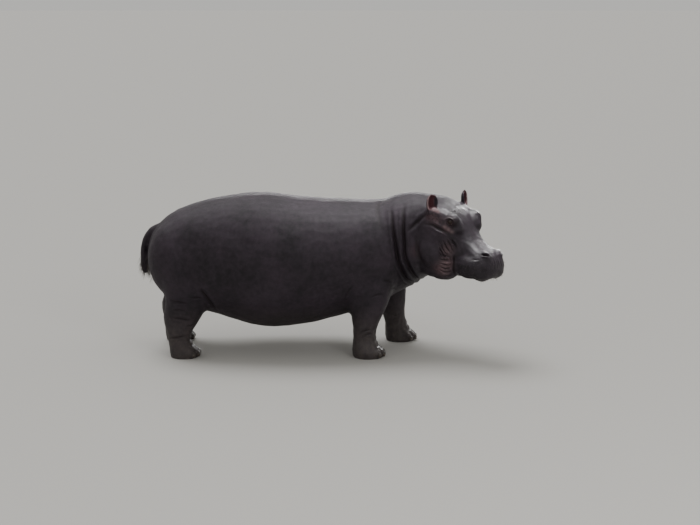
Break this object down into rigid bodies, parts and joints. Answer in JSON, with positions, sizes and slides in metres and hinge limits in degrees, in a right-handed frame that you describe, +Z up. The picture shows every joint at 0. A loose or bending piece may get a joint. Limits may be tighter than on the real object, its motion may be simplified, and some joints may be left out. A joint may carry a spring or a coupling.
{
  "type": "hippopotamus",
  "caption": "Still, life-size adult hippopotamus standing with its head low and turned to its right, mouth closed, short tail hanging, the left foreleg ahead.",
  "frame": {"origin": "on the floor, under the middle of the bounding box", "axes": "+X from rump to shoulders, the way the trunk faces; +Y to the animal's left; +Z up"},
  "size_m": [3.248, 1.2354, 1.4693],
  "materials": {
    "skin": "bare, finely wrinkled slate-grey hide, damp on its upper surfaces",
    "ear_skin": "thin bare skin, pinkish brown inside the ear",
    "eye": "wet, very dark brown eyeball",
    "nail": "horn, satin, scuffed at the edge",
    "bristle": "stiff dark bristles on the lips, ears and tail"
  },
  "bodies": {
    "root": {"ear_left": "ear_skin", "ear_right": "ear_skin", "eye_left": "eye", "eye_right": "eye", "foreleg_left": "skin", "foreleg_right": "skin", "head": "skin", "hindleg_left": "skin", "hindleg_right": "skin", "lower_jaw": "skin", "nail_fore_left_1": "nail", "nail_fore_left_2": "nail", "nail_fore_left_3": "nail", "nail_fore_left_4": "nail", "nail_fore_right_1": "nail", "nail_fore_right_2": "nail", "nail_fore_right_3": "nail", "nail_fore_right_4": "nail", "nail_hind_left_1": "nail", "nail_hind_left_2": "nail", "nail_hind_left_3": "nail", "nail_hind_left_4": "nail", "nail_hind_right_1": "nail", "nail_hind_right_2": "nail", "nail_hind_right_3": "nail", "nail_hind_right_4": "nail", "neck": "skin", "tail": "skin", "trunk": "skin"}
  },
  "joints": []
}
